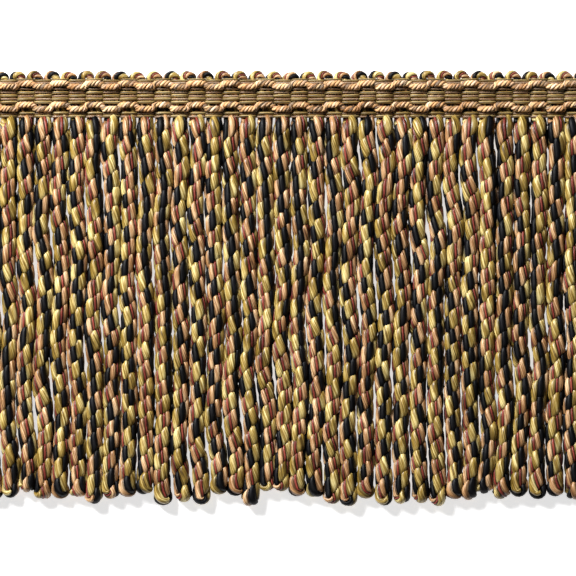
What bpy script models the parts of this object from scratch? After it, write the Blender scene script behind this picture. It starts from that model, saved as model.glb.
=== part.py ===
"""Bullion fringe trim: a woven gimp heading with a row of folded and twisted cords below it.

The trim lies flat on its back. +X runs along it, +Y points to the heading's top edge and +Z
out of its face. The origin lies under the middle of the piece. All sizes are in metres.
"""

import math
import random

import bmesh
import bpy

# ---- driving dimensions ----
CELLS = 36  # weft cells along the heading, each with one hanging cord
CELL = 0.00595  # width of one cell
DROP = 0.152  # from the top loops to the end of the longest cord
GAP = 0.0003  # room between pieces that touch in the real trim
LENGTH = CELLS * CELL

# Depths are measured down from the top of the loops.
HEADING_TOP = 0.0029
HEADING_END = 0.0168
SWELL = 0.0003  # how far the heading's face rises over a cell and sinks between cells
BED = 0.0030  # height of the channels that the gimp cords lie in

# Closed outline of the heading's section, from its upper back corner round by the back.
HEADING_SECTION = (
    # depth, height, part of the face that swells (1) or not (0)
    (HEADING_TOP, 0.0000, 0),
    (HEADING_END, 0.0000, 0),
    (HEADING_END, 0.0008, 0),  # groove for the fringe's spine
    (0.0149, 0.0008, 0),
    (0.0149, 0.0028, 0),
    (HEADING_END, 0.0028, 0),
    (HEADING_END, 0.0038, 1),  # lowest pair of warp rows
    (0.01475, 0.0038, 1),
    (0.0146, BED, 1),  # bed of the lower gimp cord
    (0.0109, BED, 1),
    (0.01075, 0.0040, 1),  # middle warp rows
    (0.0070, 0.0040, 1),
    (0.0068, BED, 1),  # bed of the upper gimp cord
    (0.0035, BED, 1),
    (0.0034, 0.0035, 1),  # top rib
    (HEADING_TOP, 0.0035, 1),
)

GIMP_RADIUS = 0.00095
GIMP_HEIGHT = BED + SWELL + GAP + GIMP_RADIUS
GIMP_FLAT = 0.28  # share of a cell, on either side of its middle, where the cord runs level
GIMP_UPPER = {"high": 0.0044, "low": 0.00574}
GIMP_LOWER = {"high": 0.01197, "low": 0.01357}

LOOP_THICKNESS = 0.0030
LOOP_BACK = 0.0004
LOOP_ROUND = 0.0006
LOOP_VALLEY = 0.0016  # depth of the notch between two loops
LOOP_STEPS = 4  # sections to a loop
LOOP_FULLNESS = 0.6  # under 1 rounds the loops out

ROPE_RADIUS = 0.0026  # from the middle to a flat side
ROPE_SIDES = 8
ROPE_TOP = HEADING_END + GAP
ROPE_POINTS = 6
ROPE_TIP = (
    # distance from the end, share of the full radius
    (0.0030, 1.00),
    (0.0010, 0.80),
    (0.0000, 0.40),
)
END_SPREAD = 0.0052  # how much shorter the shortest cord is than the longest
LENGTH_SEED = 11
SWAY_FAST = {"size": 0.0006, "step": 0.50, "start": 0.8}
SWAY_SLOW = {"size": 0.0007, "step": 0.17, "start": 0.0}
SWAY_BOW = 1.5  # over 1 keeps a cord straight near the heading and bows it lower down

SPINE_BACK = 0.0011
SPINE_FRONT = 0.0025
SPINE_TOP = 0.0152
SPINE_END = 0.0190

WELD = 1e-6  # points nearer than this become one
SHARP_ANGLE = math.radians(50)


def y_at(depth):
    """The Y of a depth below the top of the loops."""
    return DROP / 2 - depth


def cell_middle(k):
    return (k + 0.5) * CELL - LENGTH / 2


def clear_scene():
    for thing in list(bpy.data.objects):
        bpy.data.objects.remove(thing)


def new_collection(name):
    made = bpy.data.collections.new(name)
    bpy.context.scene.collection.children.link(made)
    return made


def yarn(name, colour, roughness):
    """A Principled material for one kind of yarn."""
    made = bpy.data.materials.new(name)
    made.use_nodes = True
    shader = made.node_tree.nodes["Principled BSDF"]
    shader.inputs["Base Color"].default_value = (*colour, 1.0)
    shader.inputs["Roughness"].default_value = roughness
    shader.inputs["Metallic"].default_value = 0.0
    return made


def add_object(name, data, collection, material):
    made = bpy.data.objects.new(name, data)
    collection.objects.link(made)
    made.data.materials.append(material)
    return made


def poly_spline(curve, points, radii=None):
    """Adds a spline of straight runs through the points, with a radius for each."""
    spline = curve.splines.new("POLY")
    spline.points.add(len(points) - 1)
    for i, place in enumerate(points):
        spline.points[i].co = (*place, 1.0)
        spline.points[i].radius = radii[i] if radii else 1.0
    return spline


def mesh_from_curve(curve_object):
    """Turns a curve object into a mesh object of the same name, with its caps welded."""
    graph = bpy.context.evaluated_depsgraph_get()
    mesh = bpy.data.meshes.new_from_object(curve_object.evaluated_get(graph))
    bm = bmesh.new()
    bm.from_mesh(mesh)
    bmesh.ops.remove_doubles(bm, verts=bm.verts, dist=WELD)
    bmesh.ops.recalc_face_normals(bm, faces=bm.faces)
    bm.to_mesh(mesh)
    bm.free()
    name = curve_object.name
    collection = curve_object.users_collection[0]
    place = curve_object.matrix_world.copy()
    bpy.data.objects.remove(curve_object)
    made = bpy.data.objects.new(name, mesh)
    made.matrix_world = place
    collection.objects.link(made)
    return made


def smooth(made):
    made.data.shade_smooth()
    made.data.set_sharp_from_angle(angle=SHARP_ANGLE)


def loft(bm, rings):
    """One closed skin over a row of rings that have the same number of points."""
    for near, far in zip(rings, rings[1:]):
        for i in range(len(near)):
            bm.faces.new((near[i - 1], near[i], far[i], far[i - 1]))
    bm.faces.new(rings[0])
    bm.faces.new(reversed(rings[-1]))
    bmesh.ops.recalc_face_normals(bm, faces=bm.faces)


def heading_band(collection, material):
    """The woven band: a loft along the trim, flat behind and swelling over each weft cell."""
    bm = bmesh.new()
    rings = []
    for half_cell in range(2 * CELLS + 1):
        x = half_cell * CELL / 2 - LENGTH / 2
        swell = SWELL if half_cell % 2 else -SWELL
        rings.append([bm.verts.new((x, y_at(d), h + swell * s)) for d, h, s in HEADING_SECTION])
    loft(bm, rings)
    mesh = bpy.data.meshes.new("heading_band")
    bm.to_mesh(mesh)
    bm.free()
    return add_object("heading_band", mesh, collection, material)


def gimp_cord(name, steps, collection, material):
    """A cord laid on the heading, high over the even cells and low over the odd ones."""
    levels = [y_at(steps["low"] if k % 2 else steps["high"]) for k in range(CELLS)]
    path = [(-LENGTH / 2, levels[0], GIMP_HEIGHT)]
    for k, level in enumerate(levels):
        for side in (-1, 1):
            path.append((cell_middle(k) + side * GIMP_FLAT * CELL, level, GIMP_HEIGHT))
    path.append((LENGTH / 2, levels[-1], GIMP_HEIGHT))
    curve = bpy.data.curves.new(name, "CURVE")
    curve.dimensions = "3D"
    curve.bevel_depth = GIMP_RADIUS
    curve.bevel_resolution = 1
    curve.use_fill_caps = True
    poly_spline(curve, path)
    made = mesh_from_curve(add_object(name, curve, collection, material))
    smooth(made)
    return made


def edge_loops(collection, material):
    """The cord's turns along the top edge: one comb of loops, each over a border of two cells."""
    base = y_at(HEADING_TOP - GAP)
    valley = y_at(LOOP_VALLEY)
    front = LOOP_BACK + LOOP_THICKNESS
    bm = bmesh.new()
    rings = []
    for step in range(LOOP_STEPS * CELLS + 1):
        x = step * CELL / LOOP_STEPS - LENGTH / 2
        share = abs(math.cos(math.pi * step / LOOP_STEPS)) ** LOOP_FULLNESS
        crest = valley + (y_at(0.0) - valley) * share
        section = (
            (base, LOOP_BACK),
            (base, front),
            (crest - LOOP_ROUND, front),
            (crest, front - LOOP_ROUND),
            (crest, LOOP_BACK + LOOP_ROUND),
            (crest - LOOP_ROUND, LOOP_BACK),
        )
        rings.append([bm.verts.new((x, y, z)) for y, z in section])
    loft(bm, rings)
    mesh = bpy.data.meshes.new("edge_loops")
    bm.to_mesh(mesh)
    bm.free()
    return add_object("edge_loops", mesh, collection, material)


def cord_ends():
    """The depth at which each hanging cord ends, uneven as cut by hand, the longest at DROP."""
    chance = random.Random(LENGTH_SEED)
    shares = [chance.random() for _ in range(CELLS)]
    low, high = min(shares), max(shares)
    return [DROP - END_SPREAD * (share - low) / (high - low) for share in shares]


def sway(k, along):
    """How far cord k hangs to the side, from 0 under the heading to its most at the end."""
    leaning = sum(
        wave["size"] * math.sin(wave["step"] * k + wave["start"])
        for wave in (SWAY_FAST, SWAY_SLOW)
    )
    calm_ends = math.sin(math.pi * (k + 0.5) / CELLS)
    return leaning * calm_ends * along**SWAY_BOW


def bullion_fringe(collection, cutters, material):
    """All the hanging cords as one comb: round ropes united with a thin spine at their tops."""
    curve = bpy.data.curves.new("bullion_fringe", "CURVE")
    curve.dimensions = "3D"
    curve.bevel_depth = ROPE_RADIUS / math.cos(math.pi / ROPE_SIDES)
    curve.bevel_resolution = ROPE_SIDES // 2 - 2
    curve.use_fill_caps = True
    for k, end in enumerate(cord_ends()):
        straight = end - ROPE_TIP[0][0] - ROPE_TOP
        depths = [ROPE_TOP + straight * i / (ROPE_POINTS - 1) for i in range(ROPE_POINTS - 1)]
        radii = [1.0] * len(depths) + [share for _, share in ROPE_TIP]
        depths += [end - back for back, _ in ROPE_TIP]
        path = [
            (cell_middle(k) + sway(k, (d - ROPE_TOP) / (end - ROPE_TOP)), y_at(d), ROPE_RADIUS)
            for d in depths
        ]
        spline = poly_spline(curve, path, radii)
        for point in spline.points:
            point.tilt = math.pi / ROPE_SIDES
    fringe = mesh_from_curve(add_object("bullion_fringe", curve, collection, material))
    bpy.ops.mesh.primitive_cube_add(size=1.0)
    spine = bpy.context.object
    spine.name = "spine_cutter"
    spine.scale = (LENGTH - 2 * GAP, SPINE_END - SPINE_TOP, SPINE_FRONT - SPINE_BACK)
    spine.location = (0.0, y_at((SPINE_TOP + SPINE_END) / 2), (SPINE_BACK + SPINE_FRONT) / 2)
    for holder in list(spine.users_collection):
        holder.objects.unlink(spine)
    cutters.objects.link(spine)
    spine.hide_render = True
    spine.display_type = "WIRE"
    union = fringe.modifiers.new("spine", "BOOLEAN")
    union.operation = "UNION"
    union.solver = "EXACT"
    union.object = spine
    smooth(fringe)
    return fringe


def main():
    clear_scene()
    trim = new_collection("cord_fringe_trim")
    cutters = new_collection("cutters")
    warp = yarn("gold_tan_warp", (0.52, 0.37, 0.14), 0.55)
    gimp = yarn("peach_gold_gimp", (0.68, 0.42, 0.20), 0.50)
    bullion = yarn("bullion_cord", (0.42, 0.32, 0.13), 0.45)
    heading_band(trim, warp)
    gimp_cord("gimp_cord_upper", GIMP_UPPER, trim, gimp)
    gimp_cord("gimp_cord_lower", GIMP_LOWER, trim, gimp)
    edge_loops(trim, bullion)
    bullion_fringe(trim, cutters, bullion)


main()
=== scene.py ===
"""The look of a bullion fringe trim: twisted rayon cords hanging from a woven gimp heading.

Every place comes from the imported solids. The trim lies on its back: +X runs along it, +Y
points to the heading's top edge and +Z out of its face. Lengths are in metres.
"""

import math
import random

import bpy
import numpy as np
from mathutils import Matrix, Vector


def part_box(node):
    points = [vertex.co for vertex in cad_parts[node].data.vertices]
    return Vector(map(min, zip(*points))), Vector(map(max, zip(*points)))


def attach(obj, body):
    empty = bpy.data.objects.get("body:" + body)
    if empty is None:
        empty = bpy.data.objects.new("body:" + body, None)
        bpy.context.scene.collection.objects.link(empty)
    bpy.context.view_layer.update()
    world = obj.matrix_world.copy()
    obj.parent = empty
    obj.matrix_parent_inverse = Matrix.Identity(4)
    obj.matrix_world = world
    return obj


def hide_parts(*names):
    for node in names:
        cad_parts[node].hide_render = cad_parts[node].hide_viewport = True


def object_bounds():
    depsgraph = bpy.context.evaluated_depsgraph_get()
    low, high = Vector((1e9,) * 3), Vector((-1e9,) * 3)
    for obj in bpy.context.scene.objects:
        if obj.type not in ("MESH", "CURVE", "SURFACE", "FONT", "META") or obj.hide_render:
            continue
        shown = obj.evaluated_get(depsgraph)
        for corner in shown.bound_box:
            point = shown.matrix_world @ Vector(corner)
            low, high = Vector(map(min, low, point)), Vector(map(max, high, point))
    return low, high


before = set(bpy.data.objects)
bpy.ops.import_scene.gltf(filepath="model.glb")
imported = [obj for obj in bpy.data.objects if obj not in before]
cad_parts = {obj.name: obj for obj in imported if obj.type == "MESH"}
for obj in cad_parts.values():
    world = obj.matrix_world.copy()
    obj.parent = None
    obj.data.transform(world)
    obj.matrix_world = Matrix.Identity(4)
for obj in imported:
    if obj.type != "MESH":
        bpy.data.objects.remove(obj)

CAD_LOW, CAD_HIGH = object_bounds()
BAND_LOW, BAND_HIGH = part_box("heading_band")

MM = 0.001
CELLS = 36
LENGTH = BAND_HIGH[0] - BAND_LOW[0]
CELL = LENGTH / CELLS
TOP = CAD_HIGH[1]
HEADING_END = BAND_LOW[1]

# ---- the bullion cord: four plies round each other ----
LEG_RADIUS = 1.93 * MM
CREASE = 0.52  # how far in the plies meet, against the cord's radius
PLIES = (
    # name, share of the cord's round, reach against the cord's radius, points across
    ("gold_ply", 0.37, 1.03, 8),
    ("red_ply", 0.11, 0.86, 4),
    ("peach_ply", 0.25, 0.99, 6),
    ("black_ply", 0.27, 0.98, 7),
)

FULLNESS = 0.7  # under 1 makes the plies blunt and the creases between them narrow

# ---- how the cord is folded and twisted into a hanging rope ----
LEG_OFFSET = 1.42 * MM  # from the rope's middle to the middle of each leg
SQUEEZE = 0.94  # of a leg's thickness, where the other leg presses on it
SPREAD = 1.44  # of its width, to which the squeeze drives it
ROPE_HEIGHT = 3.20 * MM
LOWEST = 0.05 * MM  # the plies flatten where they rest, this far above the surface
HALF_TURN = 6.4 * MM  # of rope, between two crossings of the legs
LOOSE = 0.28  # share of the twist missing where the rope leaves the heading
LOOSE_REACH = 9.0 * MM
SLOWEST = 0.5  # share of the twist that is left next to the fold
SLOW_REACH = 3 * MM
PLY_TURNS = 1.27  # turns of the plies in a leg for each turn of the legs
RING = 0.74 * MM  # along the rope, between two rings of points
TUCK = 2.0 * MM  # of rope hidden behind the heading's lower edge
WAIST = 0.74  # share of its full thickness that a leg has where the heading pinches it
WAIST_REACH = 2.2 * MM
WAIST_START = -0.4 * MM  # along the rope, from the heading's lower edge
RISE_START = -0.5 * MM
RISE_REACH = 4 * MM  # of rope, over which it rises from the heading to its own height
FREE_REACH = 8 * MM  # of rope, over which it comes to swing freely
FOLD_RINGS = 7
FOLD_REACH = 4 * MM  # of rope above the fold, over which the legs draw together
TURN_OFFSET = 0.92  # how tightly a cord folds at its lower end, against LEG_OFFSET
TURN_TWIST = 2.2  # how far the plies turn round the fold, as if the legs turned this far
TURN_FULLNESS = 1.12  # how thick it gets there
TURN_REACH = 5 * MM
END_SPREAD = 5.2 * MM
SLIMMING = 0.05  # how much thinner a rope is at its lower end

# ---- how uneven the ropes are ----
LENGTH_SEED = 11
ROPE_SEED = 1000
OFFSET_RANGE = (0.93, 1.05)  # against LEG_OFFSET
TIGHTNESS = (0.90, 1.10)  # of the twist, against its usual rate
FIRST_TURN = (-0.15, 0.15)
UNEVEN_TWIST = (0.20, (31 * MM, 17 * MM))  # sizes and wavelengths along the cord
UNEVEN_SIDE = (0.30 * MM, (47 * MM, 26 * MM))
UNEVEN_LIFT = (0.35 * MM, (52 * MM, 29 * MM))
UNEVEN_PLIES = (0.5, (37 * MM, 19 * MM))
UNEVEN_SIZE = (0.05, (33 * MM, 18 * MM))
YARN_SHIFT = 0.37  # from one rope's streaks to the next one's
SWAYS = (
    # size, change of phase from one rope to the next, phase of the first
    (0.6 * MM, 0.50, 0.8),
    (0.7 * MM, 0.17, 0.0),
)
DRIFTS = (
    # size, change of phase from one rope to the next, wavelength, phase of the first
    (0.50 * MM, 0.55, 62 * MM, 0.4),
    (0.35 * MM, 0.95, 43 * MM, 2.1),
    (0.20 * MM, 1.70, 29 * MM, 4.0),
)

# ---- the cord's passes through the heading ----
PASS_SEED = 3000
PASS_OFFSET = 1.32 * MM  # from the middle of a cell to each of its two passes
PASS_RADIUS = 1.44 * MM
PASS_WAIST = 0.78  # share of its thickness that the warp leaves it
PASS_HEIGHT = 1.90 * MM
ROOT_HEIGHT = 1.30 * MM  # of a rope's middle where it leaves the heading
PASS_TAIL = 0.8 * MM  # from the heading's lower edge up to a pass's end
PASS_TURN = 11.0 * MM  # one turn of the plies
PASS_RINGS = 17
PASS_STEP = 0.8 * MM  # of cord, between two rings
PASS_SHIFT = 0.29  # from one pass's streaks to the next one's
LOOP_FOOT = 3.0  # depth in millimetres at which a pass starts to bend over
LOOP_RINGS = 9
LOOP_LEAN = (-0.3, 0.4)  # millimetres to the side
LOOP_RISE = (0.70, 1.05)  # against half its width
LOOP_LIFT = (0.1, 0.9)  # millimetres
LOOP_CUT = 0.6  # of half its width, where the trim's end cuts a loop
LOOP_FREE = 4.2  # depth in millimetres above which the warp lets a pass grow to its full size
LOOP_FREE_REACH = 1.6 * MM

# ---- the heading's warp, gimp cords and ground ----
GOLD_ROW, PEACH_ROW = 0, 1
WARP_ROWS = (
    # depth in millimetres, cells whose face it crosses (0 even, 1 odd), yarn, half its width
    (3.28, 0, GOLD_ROW, 0.34),
    (3.66, 1, GOLD_ROW, 0.34),
    (4.42, 1, PEACH_ROW, 0.24),
    (6.52, 0, PEACH_ROW, 0.27),
    (6.98, 1, GOLD_ROW, 0.30),
    (7.78, 1, PEACH_ROW, 0.26),
    (7.88, 0, GOLD_ROW, 0.52),
    (8.98, 1, GOLD_ROW, 0.54),
    (9.10, 0, PEACH_ROW, 0.29),
    (10.08, 0, GOLD_ROW, 0.52),
    (10.12, 1, PEACH_ROW, 0.29),
    (11.22, 1, GOLD_ROW, 0.50),
    (15.00, 0, GOLD_ROW, 0.46),
    (15.08, 1, PEACH_ROW, 0.29),
    (16.06, 1, GOLD_ROW, 0.48),
    (16.20, 0, PEACH_ROW, 0.32),
)
WARP_SEED = 5000
WARP_REACH = 1.70 * MM  # above and below the passes
WARP_LIFT = 0.05 * MM
WARP_STOPS = (0.0, 0.03, 0.08, 0.16, 0.28, 0.5, 0.72, 0.84, 0.92, 0.97)  # shares of a cell
WARP_ARCH = 0.32  # under 1 makes a row flat over a pass and steep beside it
WARP_FLATTEN = 0.85
WARP_SHIFT = 0.41
UNEVEN_ROW = (0.05 * MM, (21 * MM, 9 * MM))

GIMPS = (
    # name, node, depths in millimetres of its high and low stretches, seed
    ("upper_gimp", "gimp_cord_upper", 4.72, 5.80, 71),
    ("lower_gimp", "gimp_cord_lower", 12.12, 13.60, 72),
)
GIMP_RINGS = 640
GIMP_PLIES = 3
GIMP_TURN = 3.5 * MM  # one turn of the plies
GIMP_OFFSET = 0.62 * MM  # from the cord's middle to the middle of each ply
GIMP_RADIUS = 0.55 * MM
GIMP_SHARPNESS = 3.2  # how quickly it steps from one level to the other
GIMP_HEIGHT = 3.45  # millimetres
GIMP_RISE = 0.95  # millimetres more over each pass
GIMP_SHIFT = 0.53
UNEVEN_GIMP = (0.8, (23 * MM, 11 * MM))
YARN_POINTS = 8  # round a single yarn

GROUND_STEPS = 6  # in a cell
GROUND_LOW_MARGIN = 0.5 * MM
GROUND_TOP_MARGIN = 0.3 * MM
GROUND_FRONT = (1.9, 0.7)  # millimetres of height at a cell's border, and more in its middle
GROUND_BACK = (1.7, -0.6)

# ---- rayon yarn, whose filaments run a little aslant ----
SLANT = 16.0 * MM  # of yarn, over which a filament crosses half the width that shows
STRAND = {"length": 9.0 * MM, "seed": 3.7, "share": 0.45}
FILAMENT = {"length": 5.0 * MM, "seed": 0.0, "share": 0.35}
FILAMENTS_PER_STRAND = 3.0
FILAMENT_RELIEF = 0.5  # against the relief of the strands
PATCH = {"scale": 140.0, "share": 0.30}
TONE_STOPS = (0.43, 0.55, 0.66)
# Painted shade: a yarn's colour is darkened towards the edges of its across coordinate, standing in
# for the shadow in the creases between plies and rows.
PAINTED_CREASE_POWER = 2.6
PAINTED_CREASE_SHADE = 0.97  # painted shade: how much of its colour a yarn loses at its edge, standing in for the shadow in the crease where it meets the next yarn
GLOSS_SWING = 0.24  # of roughness, from one filament to another
SATIN = 0.45
YARN_RELIEF = 0.12 * MM
WEAVE_RELIEF = 0.1 * MM
RELIEF_STRENGTH = 0.6

# ---- floor, light and camera ----
FLOOR_SIZE = 4.0
FLOOR_GLOW = 0.65
WORLD_STRENGTH = 0.07
LIGHTS = (
    # name, place, size, power in watts
    ("key", (-0.44, 0.50, 0.52), 0.30, 17.0),
    ("fill", (0.6, -0.3, 0.9), 0.8, 0.5),
)
LENS = 200.0  # millimetres, as is the sensor's width
SENSOR_WIDTH = 36.0
VIEW_WIDTH = 200.4 * MM
VIEW_MIDDLE = (-1.0 * MM, 0.15 * MM)
FOCUS_HEIGHT = 4.0 * MM
NEAR_CLIP = 0.01
FAR_CLIP = 20.0


def y_at(depth_mm):
    """The Y of a depth in millimetres below the top of the loops."""
    return TOP - depth_mm * MM


def cell_middle(k):
    return (k + 0.5) * CELL - LENGTH / 2


def smoothstep(x):
    x = np.clip(x, 0.0, 1.0)
    return x * x * (3 - 2 * x)


def waver(chance, size, wavelengths):
    """A smooth random function of a length: a few sines with phases of chance's choosing."""
    waves = [(2 * math.pi / w, chance.uniform(0, 2 * math.pi)) for w in wavelengths]
    return lambda s: size / len(waves) * sum(np.sin(f * s + p) for f, p in waves)


# ---------------------------------------------------------------- tubes


def plied_section(plies, radius, crease):
    """The outline of a plied cord: a bump for each ply, its points closer at the creases."""
    rows = []
    start = 0.0
    for slot, (_, share, size, count) in enumerate(plies):
        width = 2 * math.pi * share
        for i in range(count):
            near = -math.cos(math.pi * i / count)
            far = -math.cos(math.pi * (i + 1) / count)
            bump = math.sin(math.pi * i / count) ** FULLNESS
            reach = radius * (crease + (size - crease) * bump)
            rows.append((start + width * (near + 1) / 2, reach, slot, near, far))
        start += width
    return np.array(rows)


def round_section(radius, count, flatten=1.0):
    """The outline of a single yarn; flatten squeezes it towards its top and bottom."""
    rows = []
    for i in range(count):
        angle = 2 * math.pi * i / count
        reach = radius / math.hypot(math.cos(angle) / flatten, math.sin(angle))
        rows.append((angle, reach, 0, -1 + 2 * i / count, -1 + 2 * (i + 1) / count))
    return np.array(rows)


def upright_tops(tangent):
    """For each ring, the direction nearest +Z that is square to the path."""
    top = np.array([0.0, 0.0, 1.0]) - tangent * tangent[:, 2:3]
    return top / np.linalg.norm(top, axis=1, keepdims=True)


def even_tops(path, tangent):
    """For each ring, a direction square to the path that doesn't turn about it."""
    tops = [upright_tops(tangent[:1])[0]]
    for i in range(len(path) - 1):
        step = path[i + 1] - path[i]
        top = tops[i] - step * (2 * (step @ tops[i]) / (step @ step))
        turned = tangent[i] - step * (2 * (step @ tangent[i]) / (step @ step))
        change = tangent[i + 1] - turned
        size = change @ change
        if size > 1e-14:
            top = top - change * (2 * (change @ top) / size)
        tops.append(top / np.linalg.norm(top))
    return np.array(tops)


class Skein:
    """Tubes that are gathered into one mesh object."""

    def __init__(self):
        self.points = []
        self.faces = []
        self.slots = []
        self.uv = []
        self.size = 0

    def tube(self, path, section, twist=0.0, scale=1.0, upright=False, slot=0, start=0.0, press=None):
        """Sweeps a section along a path, turning each ring by twist, and caps both ends.

        With press, a direction for each ring, the section is squeezed along that direction.
        """
        tangent = np.gradient(path, axis=0)
        tangent /= np.linalg.norm(tangent, axis=1, keepdims=True)
        top = upright_tops(tangent) if upright else even_tops(path, tangent)
        side = np.cross(tangent, top)
        rings, count = len(path), len(section)
        angle = section[:, 0] + np.broadcast_to(twist, rings)[:, None]
        reach = (section[:, 1] * np.broadcast_to(scale, rings)[:, None])[..., None]
        across = np.cos(angle)[..., None] * top[:, None] + np.sin(angle)[..., None] * side[:, None]
        offset = reach * across
        if press is not None:
            along = np.sum(offset * press[:, None], -1, keepdims=True) * press[:, None]
            sunk = np.sum(offset * tangent[:, None], -1, keepdims=True) * tangent[:, None]
            offset = along * SQUEEZE + (offset - along - sunk) * SPREAD
        points = path[:, None] + offset
        points[..., 2] = np.maximum(points[..., 2], LOWEST)
        self.points.append(points.reshape(-1, 3))

        ring, point = np.meshgrid(np.arange(rings - 1), np.arange(count), indexing="ij")
        a = self.size + ring * count + point
        b = self.size + ring * count + (point + 1) % count
        self.faces.append(np.stack([a, b, b + count, a + count], -1).reshape(-1, 4))
        self.slots.append(np.tile(section[:, 2] + slot, rings - 1))
        steps = np.linalg.norm(np.diff(path, axis=0), axis=1)
        travel = start + np.concatenate([[0], np.cumsum(steps)])
        u0 = np.repeat(travel[:-1], count)
        u1 = np.repeat(travel[1:], count)
        near = np.tile(section[:, 3], rings - 1)
        far = np.tile(section[:, 4], rings - 1)
        corners = [np.stack(pair, -1) for pair in ((u0, near), (u0, far), (u1, far), (u1, near))]
        self.uv.append(np.stack(corners, 1).reshape(-1, 2))

        first = self.size + np.arange(count)
        last = first + (rings - 1) * count
        for cap, u in ((first[::-1], travel[0]), (last, travel[-1])):
            self.faces.append(cap[None])
            self.slots.append(np.array([slot]))
            self.uv.append(np.tile([u, 0.0], (count, 1)))
        self.size += rings * count

    def build(self, name, materials):
        """The gathered tubes as one smooth object."""
        corners = np.concatenate([f.ravel() for f in self.faces]).astype(np.int32)
        sizes = np.concatenate([np.full(len(f), f.shape[1]) for f in self.faces])
        starts = np.concatenate([[0], np.cumsum(sizes)[:-1]]).astype(np.int32)
        mesh = bpy.data.meshes.new(name)
        mesh.vertices.add(self.size)
        mesh.vertices.foreach_set("co", np.concatenate(self.points).astype(np.float32).ravel())
        mesh.loops.add(len(corners))
        mesh.loops.foreach_set("vertex_index", corners)
        mesh.polygons.add(len(sizes))
        mesh.polygons.foreach_set("loop_start", starts)
        mesh.polygons.foreach_set("material_index", np.concatenate(self.slots).astype(np.int32))
        mesh.update(calc_edges=True)
        layer = mesh.uv_layers.new(name="yarn")
        layer.uv.foreach_set("vector", np.concatenate(self.uv).astype(np.float32).ravel())
        mesh.shade_smooth()
        for material in materials:
            mesh.materials.append(material)
        made = bpy.data.objects.new(name, mesh)
        bpy.context.scene.collection.objects.link(made)
        return made


# ---------------------------------------------------------------- materials


class Shading:
    """A short way to add and link the nodes of one material."""

    def __init__(self, name):
        self.material = bpy.data.materials.new(name)
        self.material.use_nodes = True
        self.tree = self.material.node_tree
        self.shader = self.tree.nodes["Principled BSDF"]

    def node(self, kind, inputs=None, **settings):
        made = self.tree.nodes.new(kind)
        for key, value in settings.items():
            setattr(made, key, value)
        for key, value in (inputs or {}).items():
            self.feed(made.inputs[key], value)
        return made

    def feed(self, socket, value):
        if isinstance(value, bpy.types.NodeSocket):
            self.tree.links.new(value, socket)
        else:
            socket.default_value = value

    def maths(self, operation, a, b=0.0):
        return self.node("ShaderNodeMath", {0: a, 1: b}, operation=operation).outputs[0]

    def multiply(self, a, b):
        made = self.node("ShaderNodeMix", data_type="RGBA", blend_type="MULTIPLY")
        for socket, value in ((made.inputs[0], 1.0), (made.inputs[6], a), (made.inputs[7], b)):
            self.feed(socket, value)
        return made.outputs[2]

    def relief(self, height, distance):
        """Raises the shader's surface where height is large."""
        sockets = {"Height": height, "Strength": RELIEF_STRENGTH, "Distance": distance}
        bump = self.node("ShaderNodeBump", sockets)
        self.feed(self.shader.inputs["Normal"], bump.outputs["Normal"])

    def ramp(self, share, *stops):
        """A colour ramp through (place, colour) stops."""
        made = self.node("ShaderNodeValToRGB", {"Fac": share})
        band = made.color_ramp
        for i, (place, colour) in enumerate(stops):
            stop = band.elements[i] if i < 2 else band.elements.new(place)
            stop.position = place
            stop.color = (*colour, 1.0)
        return made.outputs["Color"]

    def noise(self, vector, scale, detail=2.0):
        sockets = {"Vector": vector, "Scale": scale, "Detail": detail}
        return self.node("ShaderNodeTexNoise", sockets).outputs["Fac"]


def srgb(text):
    """Linear colour of a six-digit hex code."""
    parts = [int(text[i : i + 2], 16) / 255 for i in (0, 2, 4)]
    return tuple(p / 12.92 if p <= 0.04045 else ((p + 0.055) / 1.055) ** 2.4 for p in parts)


def rayon(name, shades, roughness, streaks=3.2, gloss=0.4):
    """Satin yarn: fine filaments along it, and painted shade that darkens it where it meets the next
    yarn.

    The shades are hex codes of its dark, middle and light colours.
    """
    s = Shading(name)
    uv = s.node("ShaderNodeUVMap", uv_map="yarn").outputs["UV"]
    parts = s.node("ShaderNodeSeparateXYZ", {"Vector": uv})
    travel, across = parts.outputs["X"], parts.outputs["Y"]
    place = s.maths("ADD", across, s.maths("MULTIPLY", travel, 1 / SLANT))

    def grain(kind, lines):
        """Noise drawn out along the yarn, with so many lines to half its width."""
        along = s.maths("ADD", s.maths("MULTIPLY", travel, 1 / kind["length"]), kind["seed"])
        over = s.maths("MULTIPLY", place, lines)
        vector = s.node("ShaderNodeCombineXYZ", {"X": along, "Y": over}).outputs[0]
        return s.noise(vector, 1.0)

    strand = grain(STRAND, streaks)
    filament = grain(FILAMENT, FILAMENTS_PER_STRAND * streaks)
    patch = s.noise(s.node("ShaderNodeTexCoord").outputs["Object"], PATCH["scale"])
    tone = s.maths(
        "ADD",
        s.maths("MULTIPLY", strand, STRAND["share"]),
        s.maths("MULTIPLY", filament, FILAMENT["share"]),
    )
    tone = s.maths("ADD", tone, s.maths("MULTIPLY", patch, PATCH["share"]))
    colour = s.ramp(tone, *zip(TONE_STOPS, map(srgb, shades)))

    # painted shade: darkens the colour towards the yarn's edges, where the crease shadow falls
    edge = s.maths("POWER", s.maths("ABSOLUTE", across), PAINTED_CREASE_POWER)
    shade = s.maths("SUBTRACT", 1.0, s.maths("MULTIPLY", edge, PAINTED_CREASE_SHADE))
    painted_shade_colour = s.node("ShaderNodeCombineColor", {0: shade, 1: shade, 2: shade}).outputs[0]
    s.feed(s.shader.inputs["Base Color"], s.multiply(colour, painted_shade_colour))

    swing = s.maths("MULTIPLY", filament, GLOSS_SWING)
    s.feed(s.shader.inputs["Roughness"], s.maths("ADD", roughness - GLOSS_SWING / 2, swing))
    s.shader.inputs["Specular IOR Level"].default_value = gloss
    s.shader.inputs["Anisotropic"].default_value = SATIN
    along_yarn = s.node("ShaderNodeTangent", direction_type="UV_MAP", uv_map="yarn")
    s.feed(s.shader.inputs["Tangent"], along_yarn.outputs[0])
    s.relief(s.maths("ADD", strand, s.maths("MULTIPLY", filament, FILAMENT_RELIEF)), YARN_RELIEF)
    return s.material


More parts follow.
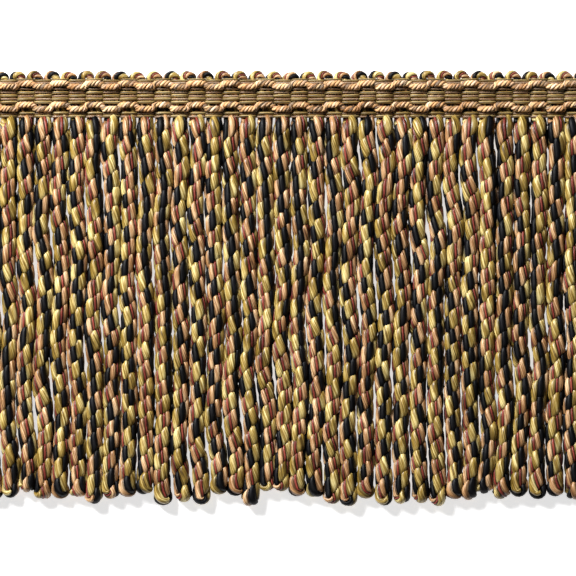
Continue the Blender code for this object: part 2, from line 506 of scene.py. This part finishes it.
GOLD = rayon("gold_rayon", ("3E2C0A", "9C7E36", "EAD896"), 0.36)
RED = rayon("dusty_red_rayon", ("2A0805", "74261C", "B05644"), 0.40)
PEACH = rayon("peach_rayon", ("4A2A12", "A87A4C", "EAC89C"), 0.38)
BLACK = rayon("black_rayon", ("020203", "060608", "141419"), 0.48, gloss=0.15)
GOLD_WARP = rayon("gold_warp", ("745620", "C09E58", "ECD294"), 0.45, streaks=2.0)
PEACH_WARP = rayon("peach_warp", ("9A6E48", "D8AE88", "F4D6B4"), 0.48, streaks=1.5)
GIMP = rayon("peach_gold_gimp", ("8A5A2E", "D0A06C", "F2D0A0"), 0.50, streaks=1.5)
CORD_COLOURS = (GOLD, RED, PEACH, BLACK)


def ground_weave_and_painted_shade():
    """The fine binding weave behind the warp rows, seen only in the openings; its near-black colour
    is partly the weave's own and partly painted shade of the gaps between the rows.
    """
    s = Shading("ground_weave_and_painted_shade")
    place = s.node("ShaderNodeTexCoord").outputs["Object"]
    sockets = {"Vector": place, "Scale": 900.0, "Distortion": 1.0}
    wave = s.node("ShaderNodeTexWave", sockets, bands_direction="Y")
    threads = s.noise(place, 2600.0, 3.0)
    tone = s.maths("MULTIPLY", s.maths("ADD", wave.outputs["Fac"], threads), 0.5)
    # painted shade: these dark browns also stand for the shadow in the gaps between the warp rows
    colour = s.ramp(tone, (0.2, srgb("120B05")), (0.5, srgb("2E1E0E")), (0.9, srgb("553C1C")))
    s.feed(s.shader.inputs["Base Color"], colour)
    s.shader.inputs["Roughness"].default_value = 0.8
    s.relief(tone, WEAVE_RELIEF)
    return s.material


# ---------------------------------------------------------------- hanging ropes


def rope_ends():
    """The Y at which each rope ends, as uneven as the solids are."""
    chance = random.Random(LENGTH_SEED)
    shares = [chance.random() for _ in range(CELLS)]
    low, high = min(shares), max(shares)
    return [CAD_LOW[1] + END_SPREAD * (share - low) / (high - low) for share in shares]


def sway(k, along):
    """How far rope k hangs to the side; neighbours lean together."""
    leaning = sum(size * math.sin(step * k + start) for size, step, start in SWAYS)
    return leaning * math.sin(math.pi * (k + 0.5) / CELLS) * np.clip(along, 0, 1) ** 1.5


def drift(k, s):
    """How far rope k swerves to the side at a length s; it and its neighbours swerve alike."""
    return sum(
        size * np.sin(step * k + 2 * math.pi * s / wavelength + start)
        for size, step, wavelength, start in DRIFTS
    )


def legs_turned(chance, s, fall):
    """How far the legs have turned about each other at each length s down the rope."""
    tight = chance.uniform(*TIGHTNESS)
    rate = math.pi / HALF_TURN * tight * (1 - LOOSE * np.exp(-np.clip(s, 0, None) / LOOSE_REACH))
    near_fold = SLOWEST + (1 - SLOWEST) * smoothstep((fall - s) / SLOW_REACH)
    rate = rate * smoothstep(s / TUCK + 1.0) * near_fold
    rate = rate * (1 + waver(chance, *UNEVEN_TWIST)(s))
    return np.cumsum(rate) * (s[1] - s[0]) + chance.uniform(*FIRST_TURN)


def rope_middle(chance, k, s, length):
    """The line down the middle of rope k, between its legs."""
    wobble = waver(chance, *UNEVEN_SIDE)
    lift = waver(chance, *UNEVEN_LIFT)
    free = smoothstep(s / FREE_REACH)
    risen = smoothstep((s - RISE_START) / RISE_REACH)
    x = cell_middle(k) + sway(k, s / length) + (drift(k, s) + wobble(s)) * free
    z = ROOT_HEIGHT + (ROPE_HEIGHT - ROOT_HEIGHT + lift(s)) * risen
    return np.stack([x, HEADING_END - s, z], -1)


def leg_thickness(chance, s, fall, length):
    """A leg's thickness against its usual one: pinched at the heading, full at the fold."""
    thickness = 1 + waver(chance, *UNEVEN_SIZE)(s) - SLIMMING * s / length
    thickness = thickness * (WAIST + (1 - WAIST) * smoothstep((s - WAIST_START) / WAIST_REACH))
    return thickness * (1 + (TURN_FULLNESS - 1) * smoothstep((s - fall) / TURN_REACH + 1))


def folded_cord(k, end):
    """One cord that hangs folded in two: down one leg, round the fold and up the other.

    Returns, for each ring, its place, the turn of the plies, the direction in which the
    other leg presses, and its thickness.
    """
    chance = random.Random(ROPE_SEED + k)
    offset = LEG_OFFSET * chance.uniform(*OFFSET_RANGE)
    turn_offset = offset * TURN_OFFSET
    length = HEADING_END - end
    fall = length - turn_offset - LEG_RADIUS
    s = np.linspace(-TUCK, fall, int((fall + TUCK) / RING))
    theta = legs_turned(chance, s, fall)
    middle = rope_middle(chance, k, s, length)
    drawn = smoothstep((s - fall + FOLD_REACH) / FOLD_REACH)
    spread = (offset + (turn_offset - offset) * drawn)[:, None]
    outward = np.stack([np.cos(theta), np.zeros(len(s)), np.sin(theta)], -1)
    bend = np.linspace(0, math.pi, FOLD_RINGS + 2)[1:-1, None]
    round_fold = np.cos(bend) * outward[-1] - np.sin(bend) * np.array([0.0, 1.0, 0.0])
    down = middle + spread * outward
    up = (middle - spread * outward)[::-1]
    path = np.concatenate([down, middle[-1] + turn_offset * round_fold, up])
    press = np.concatenate([outward, round_fold, -outward[::-1]])

    fold_turns = TURN_TWIST * np.arange(1, FOLD_RINGS + 1) / (FOLD_RINGS + 1)
    last = theta[-1]
    turned = np.concatenate([theta, last + fold_turns, 2 * last + TURN_TWIST - theta[::-1]])
    loosening = waver(chance, *UNEVEN_PLIES)(np.arange(len(path)) * RING)
    thickness = leg_thickness(chance, s, fall, length)
    at_fold = np.full(FOLD_RINGS, thickness[-1])
    scale = np.concatenate([thickness, at_fold, thickness[::-1]])
    plies_turn = chance.uniform(0, 2 * math.pi) - PLY_TURNS * turned + loosening
    return path, plies_turn, press, scale


def hang_ropes():
    section = plied_section(PLIES, LEG_RADIUS, CREASE)
    ropes = []
    for k, end in enumerate(rope_ends()):
        path, plies_turn, press, scale = folded_cord(k, end)
        skein = Skein()
        shift = k * YARN_SHIFT
        skein.tube(path, section, twist=plies_turn, scale=scale, start=shift, press=press)
        rope = skein.build(f"bullion_{k + 1:02d}", CORD_COLOURS)
        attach(rope, "root")
        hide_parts("bullion_fringe")
        ropes.append(rope)
    return ropes


# ---------------------------------------------------------------- heading


def pass_and_loop(chance, border):
    """The cord's way up one pass, over the heading's edge and down the next pass."""
    half = CELL / 2 - PASS_OFFSET
    foot = y_at(LOOP_FOOT)
    lean = chance.uniform(*LOOP_LEAN) * MM
    rise = half * chance.uniform(*LOOP_RISE)
    lift = chance.uniform(*LOOP_LIFT) * MM
    up = np.linspace(HEADING_END + PASS_TAIL, foot, PASS_RINGS)
    left = np.full(PASS_RINGS, border - half)
    left = np.stack([left, up, np.full(PASS_RINGS, PASS_HEIGHT)], -1)
    right = left[::-1] + np.array([2 * half, 0, 0])
    bend = np.linspace(0, math.pi, LOOP_RINGS + 2)[1:-1]
    x = border - half * np.cos(bend) + lean * np.sin(bend)
    y = foot + rise * np.sin(bend)
    z = PASS_HEIGHT + lift * np.sin(bend)
    return np.concatenate([left, np.stack([x, y, z], -1), right])


def weave_in_passes():
    """The cord's two passes in each cell, and the turn over the edge to the next cell."""
    section = plied_section(PLIES, PASS_RADIUS, CREASE)
    skein = Skein()
    for k in range(-1, CELLS):
        chance = random.Random(PASS_SEED + k)
        border = cell_middle(k) + CELL / 2
        path = pass_and_loop(chance, border)
        cut = (CELL / 2 - PASS_OFFSET) * LOOP_CUT
        if k == -1:
            path = path[path[:, 0] > border + cut]
        if k == CELLS - 1:
            path = path[path[:, 0] < border - cut]
        travel = np.arange(len(path)) * PASS_STEP
        turn = chance.uniform(0, 2 * math.pi) - 2 * math.pi * travel / PASS_TURN
        free = smoothstep((path[:, 1] - y_at(LOOP_FREE)) / LOOP_FREE_REACH)
        scale = PASS_WAIST + (1 - PASS_WAIST) * free
        skein.tube(path, section, twist=turn, scale=scale, start=k * PASS_SHIFT)
    loops = skein.build("weft_cord_and_edge_loops", CORD_COLOURS)
    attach(loops, "root")
    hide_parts("edge_loops")
    return loops


def weave_rows():
    """The warp yarns: each crosses the face of every second cell and the back of the others."""
    skein = Skein()
    place = np.array([k + share for k in range(CELLS) for share in WARP_STOPS] + [CELLS])
    x = place * CELL - LENGTH / 2
    for index, (depth, parity, yarn, half_width) in enumerate(WARP_ROWS):
        chance = random.Random(WARP_SEED + index)
        aside = waver(chance, *UNEVEN_ROW)
        wave = np.cos(math.pi * (place - 0.5 - parity))
        arch = np.sign(wave) * np.abs(wave) ** WARP_ARCH
        z = PASS_HEIGHT + WARP_LIFT + WARP_REACH * arch
        path = np.stack([x, y_at(depth) + aside(x), z], -1)
        section = round_section(half_width * MM, YARN_POINTS, flatten=WARP_FLATTEN)
        skein.tube(path, section, upright=True, slot=yarn, start=index * WARP_SHIFT)
    rows = skein.build("warp_rows", (GOLD_WARP, PEACH_WARP))
    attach(rows, "root")
    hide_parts("heading_band")
    return rows


def gimp_path(high, low):
    """A cord's way along the heading, high over even cells and low over odd ones."""
    place = np.linspace(0, CELLS, GIMP_RINGS)
    wave = np.cos(math.pi * (place - 0.5))
    step = np.clip(wave * GIMP_SHARPNESS, -1, 1)
    share = 0.5 + 0.5 * step * (1.5 - 0.5 * step**2)
    y = y_at(low) + (y_at(high) - y_at(low)) * share
    z = (GIMP_HEIGHT + GIMP_RISE * np.abs(wave) ** 0.5) * MM
    return np.stack([place * CELL - LENGTH / 2, y, z], -1)


def twist_gimp(name, node, high, low, seed):
    """A three-ply gimp cord laid on the heading."""
    middle = gimp_path(high, low)
    tangent = np.gradient(middle, axis=0)
    tangent /= np.linalg.norm(tangent, axis=1, keepdims=True)
    top = upright_tops(tangent)
    side = np.cross(tangent, top)
    steps = np.linalg.norm(np.diff(middle, axis=0), axis=1)
    travel = np.concatenate([[0], np.cumsum(steps)])
    skein = Skein()
    section = round_section(GIMP_RADIUS, YARN_POINTS)
    chance = random.Random(seed)
    uneven = waver(chance, *UNEVEN_GIMP)(travel)
    for ply in range(GIMP_PLIES):
        turn = 2 * math.pi * (ply / GIMP_PLIES - travel / GIMP_TURN) + uneven
        outward = np.cos(turn)[:, None] * top + np.sin(turn)[:, None] * side
        path = middle + GIMP_OFFSET * outward
        last_ply = ply == GIMP_PLIES - 1
        skein.tube(path, section, start=ply * GIMP_SHIFT, slot=last_ply)
    cord = skein.build(name, (GIMP, PEACH_WARP))
    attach(cord, "root")
    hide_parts(node)
    return cord


def heading_ground():
    """The band's ground weave: a closed strip that swells over each cell."""
    place = np.linspace(0, CELLS, CELLS * GROUND_STEPS + 1)
    swell = np.abs(np.sin(math.pi * place)) ** 0.5
    low = HEADING_END + GROUND_LOW_MARGIN
    high = BAND_HIGH[1] - GROUND_TOP_MARGIN
    rings = []
    for u, s in zip(place, swell):
        x = u * CELL - LENGTH / 2
        front, back = ((base + more * s) * MM for base, more in (GROUND_FRONT, GROUND_BACK))
        rings.append([(x, low, back), (x, high, back), (x, high, front), (x, low, front)])
    points = np.array(rings).reshape(-1, 3)
    count = 4
    faces = []
    for i in range(len(rings) - 1):
        for j in range(count):
            a = i * count + j
            b = i * count + (j + 1) % count
            faces.append((a, b, b + count, a + count))
    last = len(points) - count
    faces.append((3, 2, 1, 0))
    faces.append((last, last + 1, last + 2, last + 3))
    mesh = bpy.data.meshes.new("heading_ground")
    mesh.from_pydata(points.tolist(), [], faces)
    mesh.update()
    mesh.materials.append(ground_weave_and_painted_shade())
    ground = bpy.data.objects.new("heading_ground", mesh)
    bpy.context.scene.collection.objects.link(ground)
    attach(ground, "root")
    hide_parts("heading_band")
    return ground


# ---------------------------------------------------------------- floor, light and camera


def lay_floor():
    bpy.ops.mesh.primitive_plane_add(size=FLOOR_SIZE, location=(0, 0, 0))
    floor = bpy.context.object
    floor.name = "floor"
    s = Shading("pale_floor")
    place = s.node("ShaderNodeTexCoord").outputs["Object"]
    tone = s.ramp(s.noise(place, 30.0), (0.3, (0.93, 0.93, 0.93)), (0.7, (0.96, 0.96, 0.96)))
    s.feed(s.shader.inputs["Base Color"], tone)
    s.shader.inputs["Roughness"].default_value = 0.9
    s.shader.inputs["Emission Color"].default_value = (1, 1, 1, 1)
    s.shader.inputs["Emission Strength"].default_value = FLOOR_GLOW
    floor.data.materials.append(s.material)


def area_light(name, place, size, power):
    """A round lamp turned to the middle of the trim."""
    data = bpy.data.lights.new(name, "AREA")
    data.shape = "DISK"
    data.size = size
    data.energy = power
    lamp = bpy.data.objects.new(name, data)
    bpy.context.scene.collection.objects.link(lamp)
    lamp.location = place
    lamp.rotation_euler = (-Vector(place)).to_track_quat("-Z", "Y").to_euler()


def light_scene():
    for row in LIGHTS:
        area_light(*row)
    world = bpy.data.worlds.new("studio")
    world.use_nodes = True
    background = world.node_tree.nodes["Background"]
    background.inputs["Color"].default_value = (1, 1, 1, 1)
    background.inputs["Strength"].default_value = WORLD_STRENGTH
    bpy.context.scene.world = world


def add_camera():
    """Straight above the trim, with a long lens that takes in a little less than its length."""
    data = bpy.data.cameras.new("camera")
    data.lens = LENS
    data.sensor_width = SENSOR_WIDTH
    data.clip_start = NEAR_CLIP
    data.clip_end = FAR_CLIP
    camera = bpy.data.objects.new("camera", data)
    bpy.context.scene.collection.objects.link(camera)
    camera.location = (*VIEW_MIDDLE, VIEW_WIDTH * LENS / SENSOR_WIDTH + FOCUS_HEIGHT)
    bpy.context.scene.camera = camera


def main():
    ropes = hang_ropes()
    loops = weave_in_passes()
    rows = weave_rows()
    gimps = [twist_gimp(*row) for row in GIMPS]
    ground = heading_ground()
    lay_floor()
    light_scene()
    add_camera()
    bpy.context.scene.view_settings.view_transform = "Standard"


main()
